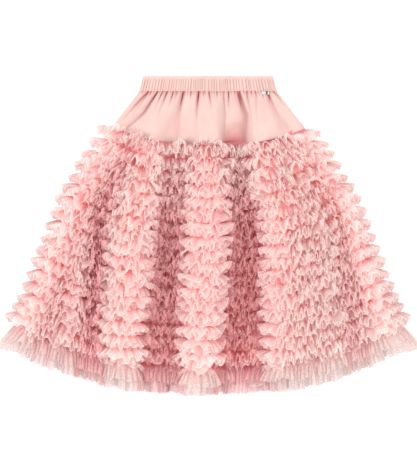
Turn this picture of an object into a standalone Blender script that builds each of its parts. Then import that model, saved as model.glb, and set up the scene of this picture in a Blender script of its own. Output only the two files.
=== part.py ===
"""Child's tulle skirt, laid out flat with its front up and its waist towards +Y.

An elastic waistband carries a smooth gathered yoke. Below the yoke hangs a plain base skirt, and gathered
tulle ruffles are sewn round it in rows, each one standing out over the top of the next. The skirt lies on
its back: the back ruffles are pressed flat on the ground, and the front falls in rolls with valleys
between them that lie on the back.

Metres, +Z up. Run with: blender --background --python part.py
"""

import math
from collections import namedtuple

import bmesh
import bpy
from mathutils import Vector

MM = 0.001

# Cloth and seams
TULLE = 1.2 * MM          # a gathered strip of tulle, both layers
BASE_CLOTH = 2.0 * MM     # base skirt with its turned seams
YOKE_CLOTH = 1.6 * MM
SEAM_GAP = 0.3 * MM       # between pieces that are sewn together
SEAM_ROOM = 0.6 * MM      # between the middle lines of two walls that meet end to end

# Waistband: a casing over flat elastic
BAND_TOP_Y = 304 * MM
BAND_HALF_WIDTH_TOP = 123.5 * MM
BAND_THICK = 3.8 * MM     # one side of the casing, with its elastic
BAND_RIB = 0.8 * MM       # how far the casing's gathers stand up
BAND_RIBS = 28

# The skirt's front, section by section from the waist seam to the base hem. run is the share of the way
# down, y_side and y_mid are the section's place at the side seams and the middle, roll is how high the
# cloth stands in the highest rolls and rest is how high its middle line lies in the deepest valleys.
SECTION_COLUMNS = ("run", "y_side", "y_mid", "half_width", "roll", "rest")
SECTIONS = (
    (0.00, 274.0, 274.0, 131.0, 1.0, 6.0),
    (2 / 11, 208.0, 176.0, 182.0, 28.0, 8.8),
    (0.50, 62.0, 8.0, 264.0, 54.0, 8.8),
    (0.84, -106.0, -166.0, 334.0, 56.0, 8.8),
    (1.00, -168.0, -256.0, 360.0, 42.0, 8.8),
)
RINGS = 11                # the front is straight between this many rings and the waist seam
YOKE_RINGS = 2            # those above the ruffles
YOKE_SEAM = YOKE_RINGS / RINGS
SIDE_BOW = 2.5            # how sharply a section curves up towards the side seams

# The rolls and valleys of the front, from left to right. Each line gives its x in mm and its height as a
# share of the section's roll, at the yoke seam, half way down and at the hem, and the number of the
# cloth's columns from it to the next line.
FOLD_COLUMNS = ("name", "x_yoke", "x_half", "x_hem", "high_yoke", "high_half", "high_hem", "columns")
FOLDS = (
    ("left side", -182, -264, -360, 0.00, 0.00, 0.00, 2),
    ("left edge roll", -166, -248, -342, 0.40, 0.80, 0.75, 1),
    ("left dip", -158, -240, -306, 0.50, 0.78, 0.45, 1),
    ("left roll", -150, -232, -280, 0.55, 0.78, 0.70, 4),
    ("left valley", -136, -202, -214, 0.45, 0.25, 0.15, 4),
    ("second roll", -110, -150, -168, 0.90, 1.00, 1.00, 4),
    ("second valley", -76, -88, -114, 0.35, 0.05, 0.03, 2),
    ("second valley, far side", -50, -54, -60, 0.35, 0.05, 0.00, 4),
    ("middle roll", 2, -2, -18, 0.85, 1.00, 1.00, 4),
    ("wide valley", 44, 48, 26, 0.15, 0.00, 0.00, 3),
    ("wide valley, far side", 60, 96, 100, 0.15, 0.00, 0.00, 4),
    ("fourth roll", 96, 140, 142, 0.90, 1.00, 0.95, 4),
    ("fourth roll, far side", 136, 205, 226, 0.70, 0.90, 0.85, 3),
    ("right dip", 150, 238, 282, 0.50, 0.60, 0.45, 2),
    ("right edge roll", 166, 250, 330, 0.40, 0.80, 0.85, 2),
    ("right side", 182, 264, 360, 0.00, 0.00, 0.00, 0),
)
COLUMNS = sum(row[-1] for row in FOLDS)
HALF_WAY = 0.5            # run at which the middle figures of FOLDS hold
STEEPNESS = 0.8           # of the slopes between rolls and valleys: at 1 they stand upright
STEEP_FROM = 0.3          # run from which they are so; at the yoke seam they are still soft

# The base skirt's front is made in gores, one for each roll, that meet in the valleys at these columns
GORE_COLUMNS = (0, 8, 17, 28, 40, COLUMNS)

# Gathers where the yoke is drawn into the waistband
YOKE_GATHERS = 22
GATHER_DEPTH = 1.9 * MM
GATHER_LENGTH = 0.75      # share of the yoke's length over which they die away
GATHER_MARGIN = 0.1       # share of the half width over which they die away at the side seams
COLUMNS_PER_GATHER = 4

# Ruffles
RUFFLE_ROWS = 18
TOP_ROW = 0.194           # run of the first row's seam
LOW_ROW = 0.985           # run of the last row's seam
RUFFLE_WAVES = 8          # on the front of each row
WAVE_SHIFT = 2.4          # radians by which the waves move on from one row to the next
WAVE_DEPTH = 5.5 * MM
RUFFLE_REACH = 25 * MM    # from its seam down the skirt
RUFFLE_LIFT = 18 * MM     # from its seam out from the skirt
VALLEY_LIFT = 0.5         # share of that lift, and of the waves, at the bottom of a valley
SEAM_LIFT = 1.1 * MM      # between the skirt and a ruffle's gathered edge
FAN_COLUMNS = 1.2         # a ruffle stands square to the cloth this many columns to either side
HEM_REACH = 54 * MM       # the lowest row is a longer flounce
HEM_LIFT = 14 * MM
HEM_DROOP = 20 * MM       # how far its free edge falls towards the ground
HEM_REST = 2.6 * MM       # where it lies on the back's flounce

# The back, pressed flat underneath
BACK_RISE = 0.5           # share of a back ruffle's width that rises to its seam; the rest lies flat
BACK_SEAM_Z = 4.6 * MM
BACK_BASE_Z = 6.5 * MM
BACK_OVERLAP = 4 * MM     # how far each back ruffle passes under the next

# Loop label in the waist seam
LABEL_WIDTH = 15 * MM
LABEL_LENGTH = 6.5 * MM
LABEL_THICK = 1.0 * MM
LABEL_X = 109 * MM

BLUSH = (0.86, 0.50, 0.47)
PALE_BLUSH = (0.95, 0.66, 0.59)
WHITE = (0.92, 0.92, 0.90)

FoldLine = namedtuple("FoldLine", "x high columns")


def lerp(a, b, share):
    return a + (b - a) * share


def clamp(value):
    return min(max(value, 0.0), 1.0)


def ease(share):
    return share * share * (3 - 2 * share)


def section(run):
    """The section at this share of the way down, as a dict in metres."""
    for upper, lower in zip(SECTIONS, SECTIONS[1:]):
        if run <= lower[0]:
            break
    share = (run - upper[0]) / (lower[0] - upper[0])
    values = [lerp(a, b, share) for a, b in zip(upper, lower)]
    return {name: value * MM for name, value in zip(SECTION_COLUMNS, values)}


def fold_lines(run):
    """The rolls and valleys as they lie at this share of the way down."""
    folds = [dict(zip(FOLD_COLUMNS, row)) for row in FOLDS]
    if run < YOKE_SEAM:
        narrowing = section(run)["half_width"] / section(YOKE_SEAM)["half_width"]
        return [FoldLine(f["x_yoke"] * narrowing * MM, f["high_yoke"], f["columns"]) for f in folds]
    if run < HALF_WAY:
        upper, lower, share = "yoke", "half", (run - YOKE_SEAM) / (HALF_WAY - YOKE_SEAM)
    else:
        upper, lower, share = "half", "hem", (run - HALF_WAY) / (1 - HALF_WAY)
    return [FoldLine(lerp(f["x_" + upper], f["x_" + lower], share) * MM,
                     lerp(f["high_" + upper], f["high_" + lower], share),
                     f["columns"]) for f in folds]


def side_turn(edge, side, share):
    """x and height share on the quarter ellipse from the outermost roll down to the side seam."""
    angle = share * math.pi / 2
    return lerp(edge.x, side.x, math.sin(angle)), edge.high * math.cos(angle)


def cross_section(u, run):
    """x and height share of the front cloth, for u from -1 at the left side to 1 at the right."""
    lines = fold_lines(run)
    last = len(lines) - 2
    left = (u + 1) / 2 * COLUMNS
    index = 0
    while index < last and left > lines[index].columns:
        left -= lines[index].columns
        index += 1
    a, b = lines[index], lines[index + 1]
    share = clamp(left / a.columns)
    if index == 0:
        return side_turn(b, a, 1 - share)
    if index == last:
        return side_turn(a, b, share)
    steep = STEEPNESS * clamp((run - YOKE_SEAM) / (STEEP_FROM - YOKE_SEAM))
    across = share + steep * math.sin(2 * math.pi * share) / (2 * math.pi)
    return lerp(a.x, b.x, across), lerp(a.high, b.high, ease(share))


def plan_y(x, s):
    return lerp(s["y_mid"], s["y_side"], clamp(abs(x / s["half_width"])) ** SIDE_BOW)


def front_ring(u, run):
    s = section(run)
    x, high = cross_section(u, run)
    return Vector((x, plan_y(x, s), s["rest"] + s["roll"] * high))


def front(u, run):
    """The middle of the front cloth, which is straight from one ring to the next."""
    ring = min(int(run * RINGS + 1e-6), RINGS - 1)
    return front_ring(u, ring / RINGS).lerp(front_ring(u, (ring + 1) / RINGS), run * RINGS - ring)


def gore(first, last, u, run):
    """The front cloth between two of its columns, u from -1 to 1, drawn in where it meets the next gore."""
    column = lerp(first, last, (u + 1) / 2)
    point = front(column * 2 / COLUMNS - 1, run)
    if abs(u) == 1 and 0 < column < COLUMNS:
        inward = (front((column - u) * 2 / COLUMNS - 1, run) - point).normalized()
        point += inward * (SEAM_GAP + BASE_CLOTH * abs(inward.z)) / 2
    return point


def front_axes(u, run):
    """Unit vectors down the skirt and square out from its front, sideways at the side seams."""
    step = 0.5 / RINGS
    down = (front(u, min(run + step, 1)) - front(u, min(run, 1 - step))).normalized()
    reach = FAN_COLUMNS * 2 / COLUMNS
    along = front(min(u + reach, 1), run) - front(max(u - reach, -1), run)
    if abs(u) == 1:
        along = Vector((0, 0, -u))
    out = Vector((-along.z, 0, along.x)).normalized()
    return down, (out - out.dot(down) * down).normalized()


def yoke_height(x, run):
    """Height share of the yoke's cloth at x."""
    lines = fold_lines(run)
    last = len(lines) - 2
    index = 0
    while index < last and x > lines[index + 1].x:
        index += 1
    a, b = lines[index], lines[index + 1]
    share = clamp((x - a.x) / (b.x - a.x))
    if index == 0:
        return b.high * math.sqrt(1 - (1 - share) ** 2)
    if index == last:
        return a.high * math.sqrt(1 - share ** 2)
    return lerp(a.high, b.high, ease(share))


def gather(u, share):
    """The yoke's gathers: deepest at the waist, uneven in spacing, gone before the yoke seam."""
    fade = max(0.0, 1 - share / GATHER_LENGTH) ** 1.5 * clamp((1 - abs(u)) / GATHER_MARGIN)
    uneven = 0.7 * math.sin(5 * u) + 0.5 * math.sin(11 * u + 1)
    return GATHER_DEPTH * fade * math.cos(math.pi * YOKE_GATHERS * u + uneven)


def yoke(u, share):
    """The middle of the front yoke, share 0 at the waist seam and 1 at the ruffles."""
    run = lerp(0, YOKE_SEAM, share)
    s = section(run)
    x = u * s["half_width"]
    return Vector((x, plan_y(x, s), s["rest"] + s["roll"] * yoke_height(x, run) + gather(u, share)))


def ruffle_run(row):
    """Where a row is sewn on, as a share of the way down."""
    return lerp(TOP_ROW, LOW_ROW, row / (RUFFLE_ROWS - 1))


def ruffle(row, u, width):
    """The middle of a front ruffle, width 0 at its seam and 1 at its free edge."""
    run = ruffle_run(row)
    down, out = front_axes(u, run)
    is_hem = row == RUFFLE_ROWS - 1
    reach, lift = (HEM_REACH, HEM_LIFT) if is_hem else (RUFFLE_REACH, RUFFLE_LIFT)
    fullness = 1 if abs(u) == 1 else lerp(VALLEY_LIFT, 1, cross_section(u, run)[1])
    turn = math.pi * RUFFLE_WAVES * u + WAVE_SHIFT * row + 0.7 * math.sin(3 * u + row)
    lift = lift * math.sin(width * math.pi / 2) + WAVE_DEPTH * width * math.cos(turn)
    root = BASE_CLOTH / 2 + SEAM_LIFT + TULLE / 2
    point = front(u, run) + down * reach * width + out * (root + lift * fullness)
    if is_hem:
        point.z = max(point.z - HEM_DROOP * width ** 2, HEM_REST)
    return point


def back_ruffle(row, u, width):
    """The middle of a back ruffle: it rises to its seam and lies flat on the ground at its free edge."""
    s = section(ruffle_run(row))
    seam_y = plan_y(u * s["half_width"], s)
    edge_y = seam_y - HEM_REACH
    if row < RUFFLE_ROWS - 1:
        below = section(ruffle_run(row + 1))
        edge_y = plan_y(u * below["half_width"], below) - BACK_OVERLAP
    x = u * (s["half_width"] + RUFFLE_LIFT * width)
    z = lerp(BACK_SEAM_Z, TULLE / 2, clamp(width / BACK_RISE))
    return Vector((x, lerp(seam_y, edge_y, width), z))


def back(u, run, z):
    s = section(run)
    return Vector((u * (s["half_width"] + BASE_CLOTH / 2), plan_y(u * s["half_width"], s), z))


def back_yoke(u, share):
    """Lies on the ground at the waist and climbs to the base skirt's level at the yoke seam."""
    return back(u, lerp(0, YOKE_SEAM, share), lerp(BAND_THICK / 2, BACK_BASE_Z, share))


def new_material(name, colour, roughness):
    made = bpy.data.materials.new(name)
    made.use_nodes = True
    shader = made.node_tree.nodes["Principled BSDF"]
    shader.inputs["Base Color"].default_value = (*colour, 1)
    shader.inputs["Roughness"].default_value = roughness
    shader.inputs["Metallic"].default_value = 0
    return made


def new_object(name, builder, material, collection):
    mesh = bpy.data.meshes.new(name)
    builder.to_mesh(mesh)
    builder.free()
    made = bpy.data.objects.new(name, mesh)
    mesh.materials.append(material)
    mesh.shade_smooth()
    collection.objects.link(made)
    return made


def unit_grid(columns, rows):
    """A flat grid from (-1, 0) to (1, 1)."""
    grid = bmesh.new()
    bmesh.ops.create_grid(grid, x_segments=columns, y_segments=rows, size=1)
    for vertex in grid.verts:
        vertex.co.y = (vertex.co.y + 1) / 2
    return grid


def sheet(name, columns, rows, place, thickness, material, collection):
    """Cloth of even thickness about the surface that place(u, v) gives."""
    grid = unit_grid(columns, rows)
    for vertex in grid.verts:
        vertex.co = place(round(vertex.co.x, 6), vertex.co.y)
    bmesh.ops.recalc_face_normals(grid, faces=grid.faces)
    made = new_object(name, grid, material, collection)
    wall = made.modifiers.new("wall", "SOLIDIFY")
    wall.thickness = thickness
    wall.offset = 0


def slab(name, columns, rows, place, material, collection):
    """A wall whose two faces differ: place(u, v, side) with side 0 underneath and 1 on top."""
    grid = unit_grid(columns, rows)
    top = bmesh.ops.extrude_face_region(grid, geom=grid.faces[:])["geom"]
    for vertex in (part for part in top if isinstance(part, bmesh.types.BMVert)):
        vertex.co.z = 1
    for vertex in grid.verts:
        vertex.co = place(vertex.co.x, vertex.co.y, round(vertex.co.z))
    bmesh.ops.recalc_face_normals(grid, faces=grid.faces)
    new_object(name, grid, material, collection)


def band(u, v, side, ground, rib):
    """A side of the waistband, v 0 at the waist seam and 1 at its top edge."""
    x = u * lerp(section(0)["half_width"], BAND_HALF_WIDTH_TOP, v)
    y = lerp(section(0)["y_mid"] + SEAM_ROOM, BAND_TOP_Y, v)
    ribs = rib * (1 + math.cos(math.pi * BAND_RIBS * u)) / 2
    return Vector((x, y, ground + side * (BAND_THICK + ribs)))


def make_waistband(material, collection):
    slab("waistband_back", 8, 1,
         lambda u, v, side: band(u, v, side, 0, 0), material, collection)
    slab("waistband_front", BAND_RIBS * 4, 1,
         lambda u, v, side: band(u, v, side, BAND_THICK + SEAM_GAP, BAND_RIB), material, collection)


def make_yoke(material, collection):
    trim = 1 - SEAM_ROOM / (section(0)["y_side"] - section(YOKE_SEAM)["y_side"])
    sheet("yoke_front", YOKE_GATHERS * COLUMNS_PER_GATHER, 3,
          lambda u, v: yoke(u, v * trim), YOKE_CLOTH, material, collection)
    sheet("yoke_back", 12, 3,
          lambda u, v: back_yoke(u, v * trim), YOKE_CLOTH, material, collection)


def make_base_skirt(material, collection):
    for number, (first, last) in enumerate(zip(GORE_COLUMNS, GORE_COLUMNS[1:]), start=1):
        sheet(f"skirt_front_{number}", last - first, RINGS - YOKE_RINGS,
              lambda u, v: gore(first, last, u, lerp(YOKE_SEAM, 1, v)), BASE_CLOTH, material, collection)
    sheet("skirt_back", 12, 3,
          lambda u, v: back(u, lerp(YOKE_SEAM, 1, v), BACK_BASE_Z), BASE_CLOTH, material, collection)


def make_ruffles(material, collection):
    for row in range(RUFFLE_ROWS):
        sheet(f"ruffle_front_{row + 1:02d}", COLUMNS, 2,
              lambda u, v: ruffle(row, u, v), TULLE, material, collection)
        sheet(f"ruffle_back_{row + 1:02d}", 8, 4,
              lambda u, v: back_ruffle(row, u, v), TULLE, material, collection)


def make_label(material, collection):
    """A bare folded tab that hangs from the waist seam and lies on the yoke's gathers."""
    top_y = section(0)["y_mid"]
    yoke_length = top_y - section(YOKE_SEAM)["y_side"]
    under = [yoke((LABEL_X + LABEL_WIDTH * (i / 6 - 0.5)) / section(0)["half_width"],
                  LABEL_LENGTH / yoke_length * j / 3).z for i in range(7) for j in range(4)]
    ground = max(under) + YOKE_CLOTH / 2 + SEAM_GAP
    slab("loop_label", 2, 1,
         lambda u, v, side: Vector((LABEL_X + u * LABEL_WIDTH / 2, top_y - v * LABEL_LENGTH,
                                    ground + side * LABEL_THICK)), material, collection)


def centre_on_origin(collection):
    """Moves the skirt so that the middle of its box in plan is the origin and its underside is at z 0."""
    bpy.context.view_layer.update()
    graph = bpy.context.evaluated_depsgraph_get()
    corners = [Vector(corner) for made in collection.objects
               for corner in made.evaluated_get(graph).bound_box]
    low = Vector(min(corner[axis] for corner in corners) for axis in range(3))
    high = Vector(max(corner[axis] for corner in corners) for axis in range(3))
    for made in collection.objects:
        made.location = (-(low.x + high.x) / 2, -(low.y + high.y) / 2, -low.z)


def main():
    for old in list(bpy.data.objects):
        bpy.data.objects.remove(old, do_unlink=True)
    skirt = bpy.data.collections.new("tulle_skirt")
    bpy.context.scene.collection.children.link(skirt)
    tulle = new_material("tulle", BLUSH, 0.85)
    cotton = new_material("yoke cloth", PALE_BLUSH, 0.75)
    tape = new_material("label tape", WHITE, 0.6)
    make_waistband(cotton, skirt)
    make_yoke(cotton, skirt)
    make_base_skirt(cotton, skirt)
    make_ruffles(tulle, skirt)
    make_label(tape, skirt)
    centre_on_origin(skirt)


main()
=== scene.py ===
"""Child's tulle skirt, laid flat with its front up and its waist towards +Y.

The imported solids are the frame. Every cloth piece is made again here at the size of its real pleats and
sits where its solid lies: base skirt, ruffles, yoke, waistband, stitching and label, in that order.
"""

import math

import bmesh
import bpy
import numpy as np
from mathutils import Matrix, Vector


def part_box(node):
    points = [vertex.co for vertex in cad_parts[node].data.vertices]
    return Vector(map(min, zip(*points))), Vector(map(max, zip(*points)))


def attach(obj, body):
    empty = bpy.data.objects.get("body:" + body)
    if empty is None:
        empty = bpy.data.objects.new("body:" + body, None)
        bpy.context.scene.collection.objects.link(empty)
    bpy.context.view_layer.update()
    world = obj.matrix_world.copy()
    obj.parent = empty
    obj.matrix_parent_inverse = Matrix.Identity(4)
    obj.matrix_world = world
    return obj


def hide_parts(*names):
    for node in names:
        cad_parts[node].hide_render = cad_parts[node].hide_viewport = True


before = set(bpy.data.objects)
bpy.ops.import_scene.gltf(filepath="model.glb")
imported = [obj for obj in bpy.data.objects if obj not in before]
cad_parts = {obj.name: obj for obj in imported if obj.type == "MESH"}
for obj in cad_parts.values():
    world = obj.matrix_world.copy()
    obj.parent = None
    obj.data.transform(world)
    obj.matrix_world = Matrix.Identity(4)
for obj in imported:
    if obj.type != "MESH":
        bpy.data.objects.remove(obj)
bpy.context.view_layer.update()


# ----------------------------------------------------------------------------
# Base skirt. Two panels of plain cotton, front and back, joined at the sides. It carries the seams of
# all ruffles and is hidden by them, apart from a glimpse below the yoke and in the deep valleys.
# ----------------------------------------------------------------------------

MM = 0.001
BASE_CLOTH = 2.0 * MM
YOKE_SEAM = 2 / 11

# The front from the waist seam down. Each figure holds at the share of the way down given in SECTION_RUNS.
SECTION_RUNS = (0.0, YOKE_SEAM, 0.5, 0.84, 1.0)
SECTIONS = {
    "y_side": (274, 208, 62, -106, -168),
    "y_mid": (274, 176, 8, -166, -256),
    "half_width": (131, 182, 264, 334, 360),
    "roll": (1, 28, 54, 56, 42),
    "rest": (6, 8.8, 8.8, 8.8, 8.8),
}
SIDE_BOW = 2.5
TOP_EDGE = 304 * MM         # y of the heading's edge in the same figures

# Rolls and valleys from left to right: x in mm at the yoke seam, half way and at the hem, height as a
# share of the section's roll at the same places, and the share of the cloth up to the next line.
FOLDS = np.array([
    (-182, -264, -360, 0.00, 0.00, 0.00, 2),
    (-166, -248, -342, 0.40, 0.80, 0.75, 1),
    (-158, -240, -306, 0.50, 0.78, 0.45, 1),
    (-150, -232, -280, 0.55, 0.78, 0.70, 4),
    (-136, -202, -214, 0.45, 0.25, 0.15, 4),
    (-110, -150, -168, 0.90, 1.00, 1.00, 4),
    (-76, -88, -114, 0.35, 0.05, 0.03, 2),
    (-50, -54, -60, 0.35, 0.05, 0.00, 4),
    (2, -2, -18, 0.85, 1.00, 1.00, 4),
    (44, 48, 26, 0.15, 0.00, 0.00, 3),
    (60, 96, 100, 0.15, 0.00, 0.00, 4),
    (96, 140, 142, 0.90, 1.00, 0.95, 4),
    (136, 205, 226, 0.70, 0.90, 0.85, 3),
    (150, 238, 282, 0.50, 0.60, 0.45, 2),
    (166, 250, 330, 0.40, 0.80, 0.85, 2),
    (182, 264, 360, 0.00, 0.00, 0.00, 0),
])
STEEPNESS = 0.8
STEEP_FROM = 0.3

band_low, band_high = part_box("waistband_back")
LAY = np.array([(band_low.x + band_high.x) / 2, band_high.y - TOP_EDGE, 0.0])


def section(name, run):
    return np.interp(run, SECTION_RUNS, SECTIONS[name]) * MM


def ease(share):
    return share * share * (3 - 2 * share)


def fold_lines(run):
    """x and height share of every fold line at each run, as two arrays of (line, run)."""
    places = (YOKE_SEAM, 0.5, 1.0)
    narrowing = np.minimum(section("half_width", run) / section("half_width", YOKE_SEAM), 1)
    narrowing = np.where(run < YOKE_SEAM, narrowing, 1)
    x = np.array([np.interp(run, places, line[0:3]) * narrowing * MM for line in FOLDS])
    high = np.array([np.interp(run, places, line[3:6]) for line in FOLDS])
    return x, high


def across_front(u, run):
    """x and height share of the front for u from -1 at its left side to 1 at its right."""
    starts = np.concatenate([[0], np.cumsum(FOLDS[:-1, 6])])
    t = (u + 1) / 2 * starts[-1]
    last = len(starts) - 2
    i = np.clip(np.searchsorted(starts, t, side="right") - 1, 0, last)
    share = np.clip((t - starts[i]) / (starts[i + 1] - starts[i]), 0, 1)
    x, high = fold_lines(run)
    each = np.arange(len(t))
    xa, xb, ha, hb = x[i, each], x[i + 1, each], high[i, each], high[i + 1, each]
    steep = STEEPNESS * np.clip((run - YOKE_SEAM) / (STEEP_FROM - YOKE_SEAM), 0, 1)
    across = share + steep * np.sin(2 * np.pi * share) / (2 * np.pi)
    across_x, across_high = xa + (xb - xa) * across, ha + (hb - ha) * ease(share)
    turn = share * np.pi / 2
    left, right = i == 0, i == last
    across_x = np.where(left, xb + (xa - xb) * np.cos(turn), across_x)
    across_high = np.where(left, hb * np.sin(turn), across_high)
    across_x = np.where(right, xa + (xb - xa) * np.sin(turn), across_x)
    across_high = np.where(right, ha * np.cos(turn), across_high)
    return across_x, across_high


def plan_y(x, run):
    bow = np.clip(np.abs(x) / section("half_width", run), 0, 1) ** SIDE_BOW
    y_mid = section("y_mid", run)
    return y_mid + (section("y_side", run) - y_mid) * bow


def front(u, run):
    """Points on the middle of the base skirt's front."""
    u, run = np.broadcast_arrays(np.asarray(u, float), np.asarray(run, float))
    x, high = across_front(u.ravel(), run.ravel())
    run = run.ravel()
    z = section("rest", run) + section("roll", run) * high
    return np.column_stack([x, plan_y(x, run), z]) + LAY


def grid_object(name, points, uv):
    """A sheet from points of (row, column, 3), facing up where its rows run down the skirt."""
    rows, columns = points.shape[:2]
    mesh = bpy.data.meshes.new(name)
    at = np.arange(rows * columns).reshape(rows, columns)
    faces = np.stack([at[1:, :-1], at[1:, 1:], at[:-1, 1:], at[:-1, :-1]], axis=-1).reshape(-1, 4)
    mesh.from_pydata(points.reshape(-1, 3).tolist(), [], faces.tolist())
    layer = mesh.uv_layers.new(name="cloth")
    corners = np.empty(len(mesh.loops), np.int32)
    mesh.loops.foreach_get("vertex_index", corners)
    layer.data.foreach_set("uv", uv.reshape(-1, 2)[corners].ravel().astype(np.float32))
    mesh.shade_smooth()
    return put_in_scene(name, mesh)


def put_in_scene(name, data):
    made = bpy.data.objects.new(name, data)
    bpy.context.scene.collection.objects.link(made)
    return made


def lay_down(piece, slot, *nodes):
    """A finished piece lies still on the skirt's one body and stands for these solids."""
    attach(piece, "root")
    if nodes:
        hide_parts(*nodes)


def along_rows(points):
    """How far each point lies from the first one of its row."""
    step = np.linalg.norm(np.diff(points, axis=-2), axis=-1)
    return np.concatenate([np.zeros_like(step[..., :1]), np.cumsum(step, axis=-1)], axis=-1)


def cloth_uv(points):
    """How far each point of a grid lies along and down its cloth, in metres."""
    along = along_rows(points)
    down = along_rows(points.swapaxes(0, 1)).T
    return np.stack([along - along[:, -1:] / 2, down], axis=-1)


def new_node(tree, kind, values=(), **settings):
    """A node with these settings, each input linked to another node's output or set to a plain value."""
    node = tree.nodes.new(kind)
    for name, value in settings.items():
        setattr(node, name, value)
    for key, value in dict(values).items():
        if isinstance(value, bpy.types.NodeSocket):
            tree.links.new(value, node.inputs[key])
        else:
            node.inputs[key].default_value = (*value, 1) if isinstance(value, tuple) else value
    return node


def weave_group():
    """Plain weave: threads over and under each other, with slubs and a soft unevenness in the dye."""
    group = bpy.data.node_groups.new("plain weave", "ShaderNodeTree")
    face = group.interface
    face.new_socket("Vector", in_out="INPUT", socket_type="NodeSocketVector")
    for name, value in (("Threads per Metre", 2200.0), ("Blotch Size", 18.0)):
        face.new_socket(name, in_out="INPUT", socket_type="NodeSocketFloat").default_value = value
    for name in ("Height", "Shade"):
        face.new_socket(name, in_out="OUTPUT", socket_type="NodeSocketFloat")
    given = group.nodes.new("NodeGroupInput").outputs
    scaled = new_node(group, "ShaderNodeVectorMath", operation="SCALE",
                      values={0: given["Vector"], "Scale": given["Threads per Metre"]})
    warp, weft = (new_node(group, "ShaderNodeTexWave", bands_direction=direction,
                           values={"Vector": scaled.outputs[0], "Scale": 0.1, "Distortion": 1.2,
                                   "Detail": 1.0}) for direction in ("X", "Y"))
    over = new_node(group, "ShaderNodeMath", {0: warp.outputs["Fac"], 1: weft.outputs["Fac"]},
                    operation="MAXIMUM")
    blotch = new_node(group, "ShaderNodeTexNoise",
                      {"Vector": given["Vector"], "Scale": given["Blotch Size"], "Detail": 3.0})
    shade = new_node(group, "ShaderNodeMath", {0: over.outputs[0], 1: 0.3, 2: blotch.outputs["Fac"]},
                     operation="MULTIPLY_ADD")
    new_node(group, "NodeGroupOutput", {"Height": over.outputs[0], "Shade": shade.outputs[0]})
    return group


plain_weave = weave_group()


def mixed(tree, factor, first, second, blend="MIX"):
    """Two colours, each a plain one or another node's, mixed by the factor."""
    return new_node(tree, "ShaderNodeMix", {"Factor": factor, "A": first, "B": second},
                    data_type="RGBA", blend_type=blend).outputs["Result"]


def mapped(tree, value, old_range, new_range):
    """The value, with its old range stretched to the new one."""
    names = ("Value", "From Min", "From Max", "To Min", "To Max")
    figures = zip(names, (value, *old_range, *new_range))
    return new_node(tree, "ShaderNodeMapRange", figures).outputs["Result"]


def held_figure(tree, name):
    """What the mesh holds for each of its points under this name."""
    return new_node(tree, "ShaderNodeAttribute", attribute_name=name).outputs["Fac"]


def on_cloth(tree):
    """The place on the flat cloth, in metres."""
    return new_node(tree, "ShaderNodeUVMap", uv_map="cloth").outputs["UV"]


def bumped(tree, height, strength, distance):
    raised = new_node(tree, "ShaderNodeBump", {"Height": height, "Strength": strength, "Distance": distance})
    tree.links.new(raised.outputs["Normal"], tree.nodes["Principled BSDF"].inputs["Normal"])


def new_material(name, roughness):
    made = bpy.data.materials.new(name)
    made.use_nodes = True
    shader = made.node_tree.nodes["Principled BSDF"]
    shader.inputs["Roughness"].default_value = roughness
    return made, made.node_tree, shader


def woven_material(name, dark, light, deep, threads, roughness, bump):
    """Plain woven cotton. Where its mesh asks for painted shade, it takes its deep colour."""
    made, tree, shader = new_material(name, roughness)
    weave = new_node(tree, "ShaderNodeGroup", node_tree=plain_weave,
                     values={"Vector": on_cloth(tree), "Threads per Metre": threads})
    dyed = mixed(tree, mapped(tree, weave.outputs["Shade"], (0.45, 1.0), (0.0, 1.0)), dark, light)
    tree.links.new(mixed(tree, held_figure(tree, "crease"), dyed, deep), shader.inputs["Base Color"])
    bumped(tree, weave.outputs["Height"], bump, 0.15 * MM)
    shader.inputs["Sheen Weight"].default_value = 0.15
    return made


def paint_shade_in_creases(made, crease):
    """Tells the cloth's material how much painted shade each point takes, from 0 to 1."""
    layer = made.data.attributes.new("crease", "FLOAT", "POINT")
    layer.data.foreach_set("value", np.asarray(crease, np.float32).ravel())


# The deep colour is painted shade, taken by the first rows below the yoke's edge
base_cotton = woven_material("base cotton", dark=(0.88, 0.34, 0.35), light=(0.94, 0.42, 0.42),
                             deep=(0.52, 0.20, 0.22), threads=1800, roughness=0.85, bump=0.4)
BACK_HEIGHT = 7.0 * MM

columns, rows = 360, 60
u_grid = np.linspace(-1, 1, columns)[None, :]
run_grid = np.linspace(YOKE_SEAM, 1, rows)[:, None]
points = front(*np.broadcast_arrays(u_grid, run_grid)).reshape(rows, columns, 3)
points[:, :, 2] += BASE_CLOTH / 2
base_front = grid_object("base_skirt_front", points, cloth_uv(points))
# Painted shade below the yoke's edge, fading out over the first five rows
shade_below_yoke = np.clip(1.2 - np.arange(rows) / 4, 0, 1)      # the first five rows
paint_shade_in_creases(base_front, np.repeat(shade_below_yoke, columns))

u_grid, run_grid = np.broadcast_arrays(np.linspace(-1, 1, 80)[None, :], run_grid)
half = section("half_width", run_grid)
x = u_grid * half
points = np.stack([x, plan_y(x, run_grid), np.full_like(half, BACK_HEIGHT)], axis=-1) + LAY
base_back = grid_object("base_skirt_back", points, cloth_uv(points))

gores = [f"skirt_front_{gore}" for gore in range(1, 6)]
for panel, nodes in ((base_front, gores), (base_back, ["skirt_back"])):
    panel.data.materials.append(base_cotton)
    lay_down(panel, "yoke_cloth", *nodes)


# ----------------------------------------------------------------------------
# Ruffles. Strips of fine nylon tulle, three plies laid together, gathered along one edge and sewn round
# the skirt in eighteen rows. The free edge is left raw and springs out; the last row is a longer flounce.
# ----------------------------------------------------------------------------

ROWS = 18
ROW_RUNS = np.linspace(0.194, 0.985, ROWS)
TOP_RUN = 0.188             # the first row of the front is sewn closer to the yoke
PLIES = 3
SEAM_STEP = 0.8 * MM        # from point to point along a front seam
NEARBY = 0.02               # as a run down the skirt, to either side of a seam
FAN = 20 * MM               # the strips turn with the rolls over this stretch to either side

# The first row's seam runs lower on the right: from this u, over this stretch, by this share of the front
DIP_FROM, DIP_SPAN, DIP = 0.36, 0.12, 0.013

# Beyond this |u| the strips stand on the sides, where one ply shows and the tips spread less
SIDE_FROM, SIDE_SPAN = 1 - 1.5 / 22, 1 / 22

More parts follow.
